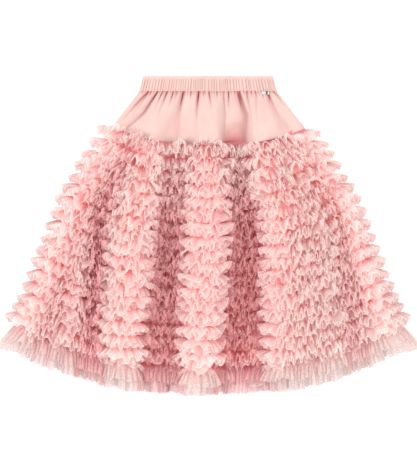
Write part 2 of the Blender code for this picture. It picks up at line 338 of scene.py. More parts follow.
# The strips bridge narrow hollows. Each pass levels them over twice its first figure, from this |u| on
BRIDGES = ((24 * MM, 0.0), (24 * MM, 0.0), (58 * MM, 0.42), (46 * MM, 0.42))
HELD_SPAN = 0.08

# How high on its roll a strip counts, for its fullness, its lean and its painted shade: higher near the yoke
# and on the sides, lower in the left valley
YOKE_NEAR, YOKE_LIFT, SIDE_LIFT = 0.26, 0.8, 0.6
# The left valley, its u and width, and how much lower its strips count there, which gives them more painted
# shade
LEFT_VALLEY = {"u": -0.64, "wide": 0.10, "deep": 0.35}

# Angles are in radians from the cloth, lengths in metres. ply_step is how much longer each ply below is,
# splay the angle between plies, stray how far the tips swing along the seam, wander how far the row swings
# up and down, and the shares how full the strip is in the valleys and on the flanks of the rolls.
RUFFLE = dict(length=34 * MM, ply_step=-0.04, lean=0.87, splay=0.42, curl=0.25, pleat_width=9.8 * MM,
              pleat_depth=6.6 * MM, fold_over=1.8 * MM, stray=13 * MM, ragged=0.7 * MM, uneven=0.16,
              wander=3 * MM, droop=0.0, valley_share=0.95, flank_share=0.78, floor=5 * MM,
              ceiling=102 * MM, root=1.6 * MM, valley_lift=0.14, sag=0.0, ply_gap=0.0)
TOP_RUFFLE = dict(RUFFLE, length=31 * MM, lean=0.97, splay=0.40, pleat_depth=8.0 * MM, valley_share=1.0)
LAST_RUFFLE = dict(RUFFLE, length=38 * MM, lean=0.85, uneven=0.26)
FLOUNCE = dict(RUFFLE, length=25 * MM, ply_step=0.64, lean=0.62, splay=0.45, curl=0.2, pleat_width=7 * MM,
               pleat_depth=5.0 * MM, stray=9 * MM, ragged=2.4 * MM, uneven=0.12, wander=2 * MM,
               droop=10 * MM, flank_share=1.0, floor=1.6 * MM, valley_lift=0.0, sag=16 * MM,
               ply_gap=0.9 * MM)


def unit(vectors):
    return vectors / np.linalg.norm(vectors, axis=1)[:, None]


def seam_line(run, dip):
    """The gathered seam of a front row, point by point, with the strip's three directions there."""

    def lowered(u, more=0):
        return np.minimum(run + more + dip * ease(np.clip((u - DIP_FROM) / DIP_SPAN, 0, 1)), 1)

    u = np.linspace(-1, 1, 3000)
    length = along_rows(front(u, lowered(u)))
    cut = np.linspace(0, length[-1], int(length[-1] / SEAM_STEP))
    u = np.interp(cut, length, u)
    place = front(u, lowered(u))
    side = np.clip((np.abs(u) - SIDE_FROM) / SIDE_SPAN, 0, 1)
    for width, beyond in BRIDGES:
        reach = int(width / SEAM_STEP)
        around = np.pad(place[:, 2], reach, mode="edge")
        level = np.convolve(around, np.full(2 * reach + 1, 1 / (2 * reach + 1)), mode="valid")
        held = np.clip((np.abs(u) - beyond) / HELD_SPAN, 0, 1) if beyond else 1
        place[:, 2] += np.clip(level - place[:, 2], 0, None) * (1 - side) * held
    extra = int(FAN / SEAM_STEP)
    below = np.arange(extra, 0, -1)[:, None] * np.array([[0, 0, -SEAM_STEP]])
    long = np.concatenate([place[0] + below, place, place[-1] + below[::-1]])
    wide = long[2 * extra:] - long[:-2 * extra]
    down = unit(front(u, lowered(u, NEARBY)) - front(u, lowered(u, -NEARBY)))
    out = np.column_stack([-wide[:, 2], np.zeros(len(u)), wide[:, 0]])
    out = unit(out - (out * down).sum(axis=1)[:, None] * down)
    in_valley = np.exp(-((u - LEFT_VALLEY["u"]) / LEFT_VALLEY["wide"]) ** 2)
    high = np.maximum(across_front(u, lowered(u))[1] - LEFT_VALLEY["deep"] * in_valley, 0)
    near_yoke = np.clip(1 - (run - YOKE_SEAM) / YOKE_NEAR, 0, 1)
    high = high + (1 - high) * np.maximum(SIDE_LIFT * side, YOKE_LIFT * near_yoke)
    return {"seam": place, "along": unit(np.gradient(place, axis=0)), "down": down, "out": out,
            "cut": cut - cut[-1] / 2, "high": high, "crest": np.clip(out[:, 2], 0, 1) ** 2, "side": side}


CARRIER_WIDTH, PLY_WIDTH = 10 * MM, 30 * MM


def strip_carrier(name, seam, plies, rows):
    """Flat bands of faces at the seam, one for each ply, which carry what the gathering needs."""
    count = len(seam["cut"])
    width = np.linspace(0, 1, rows)
    points = seam["seam"][None] + width[:, None, None] * seam["down"][None] * CARRIER_WIDTH
    uv = np.stack(np.broadcast_arrays(seam["cut"][None, :], width[:, None] * PLY_WIDTH), axis=-1)
    made = grid_object(name, np.concatenate([points] * plies), np.concatenate([uv] * plies))
    if plies > 1:
        builder = bmesh.new()
        builder.from_mesh(made.data)
        builder.faces.ensure_lookup_table()
        bridge = [builder.faces[i] for ply in range(1, plies)
                  for i in range((ply * rows - 1) * (count - 1), ply * rows * (count - 1))]
        bmesh.ops.delete(builder, geom=bridge, context="FACES_ONLY")
        builder.to_mesh(made.data)
        builder.free()
    for key in ("along", "down", "out", "seam"):
        layer = made.data.attributes.new(key, "FLOAT_VECTOR", "POINT")
        layer.data.foreach_set("vector", np.tile(seam[key], (rows * plies, 1)).ravel().astype(np.float32))
    levels = {key: np.tile(seam[key], rows * plies) for key in ("cut", "high", "crest", "side")}
    levels["width"] = np.tile(np.repeat(width, count), plies)
    levels["ply"] = np.repeat(np.arange(plies), rows * count)
    for key, value in levels.items():
        layer = made.data.attributes.new(key, "FLOAT", "POINT")
        layer.data.foreach_set("value", np.asarray(value, np.float32))
    return made


def new_tree(name, sizes):
    """An empty Geometry Nodes tree with an input for each size, for a seed and for the finish."""
    tree = bpy.data.node_groups.new(name, "GeometryNodeTree")
    inputs = [("Geometry", "Geometry"), *((size, "Float") for size in sizes), ("Seed", "Int"),
              ("Finish", "Material")]
    for socket, kind in inputs:
        tree.interface.new_socket(socket, in_out="INPUT", socket_type="NodeSocket" + kind)
    tree.interface.new_socket("Geometry", in_out="OUTPUT", socket_type="NodeSocketGeometry")
    return tree, tree.nodes.new("NodeGroupInput").outputs


def end_tree(tree, given, geometry):
    """The tree ends in real faces that carry the finish."""
    real = new_node(tree, "GeometryNodeRealizeInstances", {"Geometry": geometry})
    dressed = new_node(tree, "GeometryNodeSetMaterial",
                       {"Geometry": real.outputs["Geometry"], "Material": given["Finish"]})
    new_node(tree, "NodeGroupOutput", {"Geometry": dressed.outputs["Geometry"]})


def gathering_tree():
    """Geometry Nodes that draw a strip up along its seam, so that its free edge stands out in pleats."""
    tree, given = new_tree("gathered strip", (
        "Length", "Ply Step", "Lean", "Splay", "Curl", "Pleat Width", "Pleat Depth", "Fold Over", "Stray",
        "Ragged", "Uneven", "Wander", "Droop", "Valley Share", "Flank Share", "Floor", "Ceiling", "Root",
        "Valley Lift", "Sag", "Ply Gap", "Row Shift"))

    def calc(operation, *values):
        return new_node(tree, "ShaderNodeMath", enumerate(values), operation=operation).outputs[0]

    def add(first, *others):
        for other in others:
            first = calc("ADD", first, other)
        return first

    def times(first, *others):
        for other in others:
            first = calc("MULTIPLY", first, other)
        return first

    def held(name, kind="FLOAT"):
        node = new_node(tree, "GeometryNodeInputNamedAttribute", {"Name": name}, data_type=kind)
        return node.outputs["Attribute"]

    def uneven(per_metre, salt):
        """Smooth noise along the strip, from about -1 to 1, another for each ply, row and salt."""
        apart = add(times(given["Seed"], 3.7), times(ply, 11.3), salt)
        where = new_node(tree, "ShaderNodeCombineXYZ", {0: times(cut, per_metre), 1: apart})
        noise = new_node(tree, "ShaderNodeTexNoise",
                         {"Vector": where.outputs[0], "Scale": 1.0, "Detail": 1.0})
        return calc("MULTIPLY_ADD", noise.outputs["Fac"], 4.0, -2.0)

    cut, width, high, crest, side, ply = (held(name) for name in
                                          ("cut", "width", "high", "crest", "side", "ply"))
    loose = calc("SUBTRACT", 1.0, side)
    valley = given["Valley Share"]
    fullness = add(valley, times(high, calc("SUBTRACT", 1.0, valley)))
    flank = given["Flank Share"]
    fullness = times(fullness, add(flank, times(calc("MAXIMUM", crest, side), calc("SUBTRACT", 1.0, flank))))

    # Pleats across the strip
    turns = add(calc("DIVIDE", cut, given["Pleat Width"]), times(uneven(38.0, 1.0), 0.62))
    phase = add(times(turns, 2 * math.pi), given["Row Shift"], times(ply, 2.1))
    depth = times(given["Pleat Depth"], calc("POWER", width, 0.9), fullness,
                  calc("MULTIPLY_ADD", uneven(60.0, 5.0), 0.55, 1.0), calc("MULTIPLY_ADD", crest, 0.35, 0.65))
    small_turn = add(times(phase, 3.0), times(uneven(80.0, 9.0), 0.8))
    bulge = times(depth, add(calc("COSINE", phase), times(calc("COSINE", small_turn), 0.2)))

    # How far the strip reaches and how it leans
    calm = times(calc("MULTIPLY_ADD", crest, 0.7, 0.3), calc("MULTIPLY_ADD", loose, 0.7, 0.3))
    share = add(1.0, times(uneven(70.0, 13.0), given["Uneven"], calm), times(ply, given["Ply Step"]))
    reach = add(times(given["Length"], width, fullness, share),
                times(given["Ragged"], uneven(190.0, 17.0), calc("POWER", width, 3.0)))
    spread = times(given["Splay"], calc("SUBTRACT", 1.0, ply), calc("MULTIPLY_ADD", loose, 0.8, 0.2))
    bend = times(given["Curl"], calc("SUBTRACT", 0.4, width))
    lift = times(given["Valley Lift"], calc("SUBTRACT", 1.0, high))
    sway = times(uneven(36.0, 21.0), calc("MULTIPLY_ADD", loose, 0.45, 0.03))
    lean = add(given["Lean"], lift, spread, bend, sway, times(uneven(9.0, 23.0), 0.15),
               times(uneven(95.0, 33.0), loose, 0.16))
    down_lean, out_lean = calc("COSINE", lean), calc("SINE", lean)
    stray = times(uneven(30.0, 25.0), given["Stray"], width, calc("MULTIPLY_ADD", loose, 0.8, 0.2))
    wander = times(uneven(16.0, 29.0), given["Wander"])
    steps = {"down": add(times(reach, down_lean), times(bulge, out_lean, -1.0), wander),
             "out": add(times(reach, out_lean), times(bulge, down_lean), given["Root"]),
             "along": add(times(given["Fold Over"], calc("POWER", width, 1.2), fullness,
                                calc("SINE", times(phase, 2.0))), stray)}
    place = held("seam", "FLOAT_VECTOR")
    for name, amount in steps.items():
        scaled = new_node(tree, "ShaderNodeVectorMath", operation="SCALE",
                          values={0: held(name, "FLOAT_VECTOR"), "Scale": amount})
        place = new_node(tree, "ShaderNodeVectorMath", {0: place, 1: scaled.outputs[0]}).outputs[0]

    # The free edge falls, tips bend over below the ceiling, and nothing goes through the ground
    x, y, z = new_node(tree, "ShaderNodeSeparateXYZ", {0: place}).outputs
    fallen = calc("SUBTRACT", z, times(given["Droop"], calc("POWER", width, 2.0)))
    least = add(given["Floor"], calc("ABSOLUTE", times(bulge, 0.35)),
                times(given["Ply Gap"], calc("SUBTRACT", PLIES - 1, ply)))
    bent = calc("SMOOTH_MIN", fallen, given["Ceiling"], 8 * MM)
    sagging = calc("SUBTRACT", y, times(given["Sag"], side, width))
    joined = new_node(tree, "ShaderNodeCombineXYZ", {0: x, 1: sagging, 2: calc("MAXIMUM", bent, least)})
    moved = new_node(tree, "GeometryNodeSetPosition",
                     {"Geometry": given["Geometry"], "Position": joined.outputs[0]})
    end_tree(tree, given, moved.outputs["Geometry"])
    return tree


def run_tree(made, tree, **values):
    """Runs a Geometry Nodes tree on an object and keeps the result as its plain mesh."""
    modifier = made.modifiers.new("making", "NODES")
    modifier.node_group = tree
    for item in tree.interface.items_tree:
        key = item.name.lower().replace(" ", "_")
        if item.in_out == "INPUT" and key in values:
            modifier[item.identifier] = values[key]
    bpy.context.view_layer.update()
    graph = bpy.context.evaluated_depsgraph_get()
    mesh = bpy.data.meshes.new_from_object(made.evaluated_get(graph), preserve_all_data_layers=True,
                                           depsgraph=graph)
    made.modifiers.remove(modifier)
    old, made.data = made.data, mesh
    name = old.name
    bpy.data.meshes.remove(old)
    mesh.name = name
    mesh.shade_smooth()


def lit_through(tree, colour, share):
    """The cloth's shader mixed with the light that falls through the cloth from behind, in this colour."""
    through = new_node(tree, "ShaderNodeBsdfTranslucent", {"Color": colour})
    both = new_node(tree, "ShaderNodeMixShader",
                    {0: share, 1: tree.nodes["Principled BSDF"].outputs[0], 2: through.outputs[0]})
    return both.outputs[0]


def tulle_material(name, edge_cover, edge_highlight, dull_colour, always_dull):
    """Dusty pink net: painted deep pink shade at the seam, paler outwards, and a painted white highlight at
    the cut.
    """
    made, tree, shader = new_material(name, 0.65)
    for socket, value in (("Sheen Weight", 0.15), ("Sheen Roughness", 0.4), ("Specular IOR Level", 0.2),
                          ("Sheen Tint", (1.0, 0.86, 0.84, 1))):
        shader.inputs[socket].default_value = value

    # Painted shade and highlight by the way out from the seam and the height on the roll; duller where one
    # ply stands alone
    width, high, side = (held_figure(tree, name) for name in ("width", "high", "side"))
    edge = new_node(tree, "ShaderNodeValToRGB", {"Fac": width})
    ramp = edge.color_ramp
    # Painted shade in deep pink at the seam, and a painted highlight, near white, along the raw cut
    ramp.elements[0].position, ramp.elements[0].color = 0.0, (1.0, 0.54, 0.55, 1)
    ramp.elements[1].position, ramp.elements[1].color = 1.0, (*edge_highlight, 1)
    for position, colour in ((0.3, (1.0, 0.79, 0.78)), (0.65, (1.0, 0.92, 0.89)), (0.91, (1.0, 0.93, 0.895)),
                             (0.95, edge_highlight)):
        ramp.elements.new(position).color = (*colour, 1)
    # Painted shade: deeper pink where the strip sits low on its roll
    valley_shade = mixed(tree, mapped(tree, high, (0.0, 0.85), (0.75, 0.0)), edge.outputs["Color"],
                   (1.0, 0.77, 0.80), "MULTIPLY")
    # Greyer and darker where one ply stands alone: partly the thin net's own look, partly painted shade
    single = mapped(tree, side, (0.0, 1.0), (always_dull, 1.0))
    colour = mixed(tree, single, valley_shade, dull_colour, "MULTIPLY")
    tree.links.new(colour, shader.inputs["Base Color"])

    # Crimped by the gathering, open between its threads, and closer along the cut
    crimp = new_node(tree, "ShaderNodeTexWave", bands_direction="X", values={
        "Vector": on_cloth(tree), "Scale": 95.0, "Distortion": 4.0, "Detail": 1.0, "Detail Scale": 0.6})
    bumped(tree, crimp.outputs["Fac"], 0.75, 0.5 * MM)
    net = new_node(tree, "ShaderNodeTexVoronoi", {"Vector": on_cloth(tree), "Scale": 900.0},
                   feature="DISTANCE_TO_EDGE")
    threads = mapped(tree, net.outputs["Distance"], (0.02, 0.2), (0.80, 0.44))
    rim = mapped(tree, width, (0.90, 0.95), (0.0, edge_cover))
    cover = new_node(tree, "ShaderNodeMath", {0: threads, 1: rim}, operation="MAXIMUM")
    clear = new_node(tree, "ShaderNodeBsdfTransparent", {"Color": (1.0, 0.93, 0.94)})
    seen = new_node(tree, "ShaderNodeMixShader",
                    {0: cover.outputs[0], 1: clear.outputs[0], 2: lit_through(tree, colour, 0.62)})
    tree.links.new(seen.outputs[0], tree.nodes["Material Output"].inputs["Surface"])
    return made


gathered_strip = gathering_tree()
# The fringe is half dulled all over: partly the thin net's own look, partly painted shade
tulle = tulle_material("blush tulle", 0.78, (1.0, 0.95, 0.93), (0.87, 0.83, 0.82), 0.0)
fringe_tulle = tulle_material("blush tulle fringe", 0.50, (1.0, 0.92, 0.90), (0.87, 0.86, 0.85), 0.5)


def sew_strip(face, row, seam, plies, points_out, figures, row_shift, seed):
    strip = strip_carrier(f"tulle_{face}_{row + 1:02d}", seam, plies, points_out)
    run_tree(strip, gathered_strip, row_shift=row_shift, seed=seed,
             finish=fringe_tulle if figures is FLOUNCE else tulle, **figures)
    lay_down(strip, "tulle", f"ruffle_{face}_{row + 1:02d}")


front_runs = (TOP_RUN, *ROW_RUNS[1:])
kinds = [TOP_RUFFLE] + [RUFFLE] * (ROWS - 3) + [LAST_RUFFLE, FLOUNCE]
for row, (run, figures) in enumerate(zip(front_runs, kinds)):
    seam = seam_line(run, 0 if row else DIP)
    sew_strip("front", row, seam, PLIES, 7, figures, 2.4 * row, row + 1)


# The back rows are pressed flat under the skirt, on the ground, and open a little towards the hem
BACK_STEP = 1.6 * MM
BACK_SEAM_HEIGHT = 4.6 * MM
BACK_REACH, BACK_FLARE = 27 * MM, 18 * MM
PRESSED = dict(RUFFLE, length=BACK_REACH, valley_lift=0.0, lean=0.12, splay=0.0, curl=0.0,
               pleat_depth=0.9 * MM, fold_over=3.0 * MM, wander=0.0, flank_share=1.0,
               floor=0.4 * MM, root=0.0)
PRESSED_FLOUNCE = dict(PRESSED, length=42 * MM)


def back_seam(run):
    """The seam of a back row, point by point, as seam_line gives a front one's."""
    half = section("half_width", run)
    x = np.linspace(-half, half, int(2 * half / BACK_STEP))
    nought = np.zeros_like(x)
    place = np.column_stack([x, plan_y(x, run), nought + BACK_SEAM_HEIGHT]) + LAY
    cut = along_rows(place)
    return {"seam": place, "along": unit(np.gradient(place, axis=0)),
            "down": unit(np.column_stack([x * BACK_FLARE / half, nought - BACK_REACH, nought])),
            "out": np.tile([0.0, 0.0, -1.0], (len(x), 1)), "cut": cut - cut[-1] / 2, "high": nought + 1,
            "crest": nought, "side": nought}


for row, run in enumerate(ROW_RUNS):
    figures = PRESSED_FLOUNCE if row == ROWS - 1 else PRESSED
    sew_strip("back", row, back_seam(run), 1, 6, figures, 1.7 * row, row + 41)


# ----------------------------------------------------------------------------
# Yoke. Smooth peach cotton, cut in two panels and gathered into the waistband. Each gather starts as a
# sharp tuck in the waist seam and opens out below; one deep fold runs down to the first row of tulle.
# ----------------------------------------------------------------------------

# Each tuck's x at the waist seam, half way and at the lower edge, its depth, its gentle slope on the left
# and its steep one on the right, all in mm, and the share of the yoke's length over which it opens out
TUCK_COLUMNS = ("waist", "half", "seam", "deep", "left", "right", "length")
TUCKS = (
    (-112, -139, -167, 5.0, 4.0, 2.0, 0.45),
    (-95, -121, -161, 8.5, 7.0, 1.5, 2.50),
    (-114, -146, -178, 5.5, 4.5, 1.6, 1.50),
    (-108, -124, -150, 4.5, 2.0, 1.6, 0.12),
    (-86, -106, -126, 5.5, 4.0, 1.8, 0.30),
    (-78, -93, -101, 6.5, 3.0, 1.8, 0.30),
    (-66, -78, -86, 5.5, 2.4, 1.6, 0.22),
    (-59, -70, -80, 4.5, 2.0, 1.6, 0.12),
    (-46, -57, -63, 5.5, 3.0, 1.8, 0.28),
    (-47, -56, -62, 5.0, 12.0, 3.0, 3.00),
    (-32, -38, -40, 4.0, 2.0, 1.6, 0.12),
    (-17, -23, -25, 7.0, 3.0, 1.8, 0.28),
    (-18, -23, -25, 3.6, 8.0, 2.2, 1.00),
    (-9, -8, -8, 3.5, 2.0, 1.6, 0.09),
    (2, 8, 10, 5.0, 2.6, 1.8, 0.28),
    (17, 18, 18, 3.0, 1.6, 1.6, 0.09),
    (29, 33, 31, 2.8, 2.0, 1.6, 3.00),
    (39, 40, 42, 5.0, 2.4, 1.8, 0.28),
    (58, 68, 70, 7.0, 3.0, 1.6, 0.20),
    (60, 74, 70, 10.0, 15.0, 1.2, 3.00),
    (73, 80, 84, 4.5, 3.0, 1.8, 0.40),
    (82, 84, 86, 3.5, 1.8, 1.6, 0.09),
    (91, 93, 95, 2.4, 3.0, 2.0, 0.90),
    (104, 108, 114, 4.5, 2.0, 1.6, 0.12),
    (115, 121, 130, 5.0, 2.4, 1.6, 0.18),
    (112, 129, 158, 6.0, 9.0, 3.0, 2.00),
    (125, 155, 180, 5.0, 3.0, 2.0, 0.50),
)

# Where the lower edge dips: x, width and depth in mm, the share of the yoke where the dip starts, its painted
# shade
HOLLOWS = ((48, 20, 13, 0.60, 0.85), (36, 9, 3, 0.93, 0.70))

# Heights in metres, and what share of the yoke's length or half width each takes to run out
PUFF, PUFF_RUN = 9.0 * MM, 0.9          # the cloth stands off the seam
RIB_DEEP, RIB_RUN = 1.8 * MM, 0.10      # the waistband's ribs run on below it
SEAM_BEND, SIDE_BEND = 0.04, 0.05       # all of it starts from the waist seam and from the side seams
SWELL = {"x": 24 * MM, "wide": 13 * MM, "high": 9 * MM}
SOFT_WAVE = 4.0 * MM
TUCK_GAIN = 1.2
LEAST_HEIGHT, LEAST_RISE = 3.2, 4.6     # mm above the ground at the waist seam, and more at the lower edge


def rib_places():
    """Where the gathers' ribs stand, as shares of the half width, and how high each one is."""
    chance = np.random.RandomState(5)
    steps = chance.uniform(0.45, 1.7, 56)
    places = np.concatenate([[0], np.cumsum(steps)])
    wide = np.minimum(np.convolve(np.pad(steps, 1, mode="edge"), (0.5, 0.5), mode="valid"), 1)
    return places / places[-1] * 2 - 1, chance.uniform(0.6, 1.0, len(places)) * wide


def rib_wave(u):
    """1 on top of a rib and 0 in the groove between two."""
    places = rib_places()[0]
    return np.abs(np.cos(np.pi * np.interp(u, places, np.arange(len(places))))) ** 0.7


def rib_height(u):
    """The same wave, lower where the ribs are small or stand close."""
    return rib_wave(u) * np.interp(u, *rib_places())


def yoke_height(x, run):
    """Height share of the yoke's cloth at x."""
    lines_x, lines_high = fold_lines(run)
    last = len(lines_x) - 2
    i = np.clip((lines_x[1:-1] <= x).sum(axis=0), 0, last)
    each = np.arange(len(x))
    xa, xb = lines_x[i, each], lines_x[i + 1, each]
    ha, hb = lines_high[i, each], lines_high[i + 1, each]
    share = np.clip((x - xa) / (xb - xa), 0, 1)
    high = ha + (hb - ha) * ease(share)
    high = np.where(i == 0, hb * np.sqrt(np.clip(1 - (1 - share) ** 2, 0, 1)), high)
    return np.where(i == last, ha * np.sqrt(np.clip(1 - share ** 2, 0, 1)), high)


def yoke_front(u, share):
    """Points on the front yoke, share 0 at the waist seam and 1 at its lower edge, and the painted shade at
    each.
    """
    run = share * YOKE_SEAM
    half = section("half_width", run)
    x = u * half
    z = section("rest", run) + section("roll", run) * yoke_height(x, run)
    sides = np.clip((1 - np.abs(u)) / SIDE_BEND, 0, 1)
    below_seam = 1 - np.exp(-share / SEAM_BEND)
    z += PUFF * sides * np.exp(-share / PUFF_RUN) * below_seam
    z -= RIB_DEEP * (1 - rib_height(u)) * np.exp(-share / RIB_RUN) * below_seam
    # Painted shade in the grooves between the ribs as they run on below the waistband, sharpest at the waist
    # seam
    crease = 0.40 * (1 - rib_wave(u)) * np.exp(-share / RIB_RUN)
    crease += 1.1 * (1 - rib_wave(u)) ** 1.5 * np.exp(-share / SEAM_BEND)
    z += SWELL["high"] * share * np.exp(-((x - SWELL["x"]) / SWELL["wide"]) ** 2)

    # Each tuck sinks between its two slopes and takes painted shade: a sharp dark line, and a faint one where
    # it is wide
    for row in TUCKS:
        tuck = dict(zip(TUCK_COLUMNS, row))
        off = x / MM - np.interp(share, (0, 0.5, 1), (tuck["waist"], tuck["half"], tuck["seam"]))
        slope = np.where(off < 0, tuck["left"] * (0.7 + 1.2 * share), tuck["right"] * (0.9 + share))
        fade = np.exp(-(share / tuck["length"]) ** 1.4) * sides
        sunk = np.exp(-(np.abs(off) / slope) ** 1.2) * fade * (0.35 + 0.65 * below_seam)
        z -= TUCK_GAIN * tuck["deep"] * MM * sunk
        line_shade = tuck["deep"] / 3.4 * min(6 / tuck["left"], 1) * np.exp(-share / 0.2)
        crease += line_shade * fade * np.exp(-(np.abs(off) / (0.28 * slope + 0.4)) ** 1.5)
        crease += 0.034 * tuck["deep"] * fade * np.exp(-(np.abs(off) / (0.75 * slope + 0.5)) ** 1.5)
    for place, wide, deep, begin, shade in HOLLOWS:
        low = np.clip((share - begin) / (1 - begin), 0, 1)
        near = np.exp(-((x / MM - place) / wide) ** 2)
        z -= deep * MM * low * near
        # Painted shade in the dip
        crease += shade * low ** 1.5 * near
    soft = np.sin(17 * u + 2 * share) * np.sin(7.3 * u + 0.6) * np.sin(np.pi * np.clip(share, 0, 1))
    z += SOFT_WAVE * soft * sides
    z = np.maximum(z, (LEAST_HEIGHT + LEAST_RISE * share) * MM)
    return np.column_stack([x, plan_y(x, run), z]) + LAY, np.clip(crease, 0, 1)


# The deep colour is painted shade in the tucks, hollows and rib grooves of the yoke and the waistband
yoke_cotton = woven_material("yoke cotton", dark=(0.63, 0.43, 0.385), light=(0.71, 0.52, 0.47),
                             deep=(0.50, 0.13, 0.13), threads=2600, roughness=0.75, bump=0.35)
tree = yoke_cotton.node_tree
glow = lit_through(tree, (0.95, 0.42, 0.34), 0.10)
tree.links.new(glow, tree.nodes["Material Output"].inputs["Surface"])

YOKE_CLOTH = 1.6 * MM
LAP = 1.05                  # the front panel reaches under the first row of tulle
INTO_BAND = 1.8 * MM        # and its gathered edge into the waistband, lifted on the seam's allowance
SEAM_LIFT = 0.9 * MM
BACK_REST = 1.9             # mm above the ground at the waist seam

columns, rows = 620, 72
across, down = np.linspace(-1, 1, columns), np.linspace(0, LAP, rows)
u_grid, share_grid = np.broadcast_arrays(across[None, :], down[:, None])
points, crease = yoke_front(u_grid.ravel(), share_grid.ravel())
points = points.reshape(rows, columns, 3)
points[:, :, 2] += YOKE_CLOTH / 2 + BASE_CLOTH / 2 * np.clip((share_grid - 0.9) / 0.1, 0, 1)
points[:, :, 2] += SEAM_LIFT * np.exp(-share_grid / 0.05)
points[0, :, 1] += INTO_BAND
yoke_top = grid_object("yoke_panel_front", points, cloth_uv(points))
paint_shade_in_creases(yoke_top, crease)
across, down = np.linspace(-1, 1, 90), np.linspace(0, 0.995, 14)
u_grid, share_grid = np.broadcast_arrays(across[None, :], down[:, None])
x, run = u_grid * section("half_width", share_grid * YOKE_SEAM), share_grid * YOKE_SEAM
points = np.stack([x, plan_y(x, run), (BACK_REST + LEAST_RISE * share_grid) * MM], axis=-1) + LAY
yoke_under = grid_object("yoke_panel_back", points, cloth_uv(points))
for panel, node in ((yoke_top, "yoke_front"), (yoke_under, "yoke_back")):
    panel.data.materials.append(yoke_cotton)
    lay_down(panel, "yoke_cloth", node)


# ----------------------------------------------------------------------------
# Waistband. A casing of the yoke's cotton over flat elastic. The relaxed elastic draws the casing up
# into close upright ribs below a plain heading, and a row of stitches holds it along the waist seam.
# ----------------------------------------------------------------------------

BAND_FOOT = 274.6 * MM      # y of its lower edge
BAND_TALL = 29.4 * MM
BAND_THICK = 3.8 * MM
BAND_HALF = (131.0, 123.5)  # half its length in mm, at the lower and the upper edge
SEAM_ROW = 0.07             # shares of its height: the stitches that hold it, and where the ribs end
HEADING = 0.78
FRONT_REST = 4.1 * MM       # the front casing lies on the back one
RIB_HIGH = 2.6 * MM


def casing(u, turn, ground, ribs):
    """Points round the casing's closed section: turn 0 to 1 from its lower edge, over the top and back."""
    half = 0.5 * BAND_THICK
    flat = BAND_TALL - 2 * half
    path = turn * (2 * flat + 2 * np.pi * half)
    rise = np.minimum(path, flat)
    over = np.clip((path - flat) / (np.pi * half), 0, 1)
    fall = np.clip(path - flat - np.pi * half, 0, flat)
    under = np.clip((path - 2 * flat - np.pi * half) / (np.pi * half), 0, 1)
    y = half + rise + half * np.sin(np.pi * over) - fall - half * np.sin(np.pi * under)
    z = np.where(under > 0, -half * np.cos(np.pi * under), half * np.cos(np.pi * over))
    top = np.clip(z / half, -1, 1) * 0.5 + 0.5

    # The ribs are held in by the stitches, run out at the heading and the sides, and wave the lower edge
    rib = rib_height(u)
    tall = y / BAND_TALL
    held_in = 1 - 0.85 * np.exp(-((tall - SEAM_ROW) / 0.04) ** 2)
    held_in *= 1 - 0.8 * np.clip((tall - HEADING) / 0.05, 0, 1)
    z = z + half + ground + ribs * rib * top * held_in * np.clip((1 - np.abs(u)) / 0.03, 0, 1)
    y = y - 0.6 * MM * (rib - 0.5) * np.clip(1 - tall / 0.3, 0, 1) * (ribs > 0)
    width = (BAND_HALF[0] + (BAND_HALF[1] - BAND_HALF[0]) * tall) * MM
    return np.stack([u * width, BAND_FOOT + y, z], axis=-1) + LAY


def make_casing(name, node, ground, ribs, columns):
    u, turn = np.broadcast_arrays(np.linspace(-1, 1, columns)[None, :], np.linspace(0, 1, 57)[:, None])
    points = casing(u, turn, ground, ribs)
    made = grid_object(name, points[::-1], cloth_uv(points)[::-1])
    past_ribs = points[..., 1] - LAY[1] - BAND_FOOT - HEADING * BAND_TALL
    flat_edge = np.clip(past_ribs / (1.5 * MM), 0, 1)
    # Painted shade in the grooves between the ribs, up to the plain heading
    paint_shade_in_creases(made, (0.8 * (1 - rib_wave(u)) ** 3 * (1 - flat_edge) * (ribs > 0))[::-1])
    builder = bmesh.new()
    builder.from_mesh(made.data)
    bmesh.ops.remove_doubles(builder, verts=builder.verts, dist=1e-5)
    bmesh.ops.holes_fill(builder, edges=[edge for edge in builder.edges if edge.is_boundary])
    bmesh.ops.recalc_face_normals(builder, faces=builder.faces)
    builder.to_mesh(made.data)
    builder.free()
    made.data.shade_smooth()
    made.data.materials.append(yoke_cotton)
    lay_down(made, "yoke_cloth", node)
    return made


band_front = make_casing("casing_front", "waistband_front", FRONT_REST, RIB_HIGH, 616)
band_back = make_casing("casing_back", "waistband_back", 0.0, 0.0, 40)


# ----------------------------------------------------------------------------
# Stitching. Straight rows of cotton thread: one holds the yoke's gathers along the waist seam, one runs
# below the heading and keeps the elastic in its place.
# ----------------------------------------------------------------------------


def stitching_tree():
    """Geometry Nodes that set a stitch of thread at every step along a line."""
    tree, given = new_tree("row of stitches", ("Step", "Stitch Length", "Thread Width"))
    line = new_node(tree, "GeometryNodeMeshToCurve", {"Mesh": given["Geometry"]})
    even = new_node(tree, "GeometryNodeResampleCurve", mode="LENGTH",
                    values={"Curve": line.outputs["Curve"], "Length": given["Step"]})
    tangent = new_node(tree, "GeometryNodeInputTangent").outputs["Tangent"]
    turned = new_node(tree, "FunctionNodeAlignRotationToVector", {"Vector": tangent}, axis="Z")
    bead = new_node(tree, "GeometryNodeMeshUVSphere", {"Segments": 6, "Rings": 5, "Radius": 0.5})
    size = new_node(tree, "ShaderNodeCombineXYZ",
                    {0: given["Thread Width"], 1: given["Thread Width"], 2: given["Stitch Length"]})
    placed = new_node(tree, "GeometryNodeInstanceOnPoints",
                      {"Points": even.outputs["Curve"], "Instance": bead.outputs["Mesh"],
                       "Rotation": turned.outputs["Rotation"], "Scale": size.outputs[0]})
    end_tree(tree, given, placed.outputs["Instances"])
    return tree


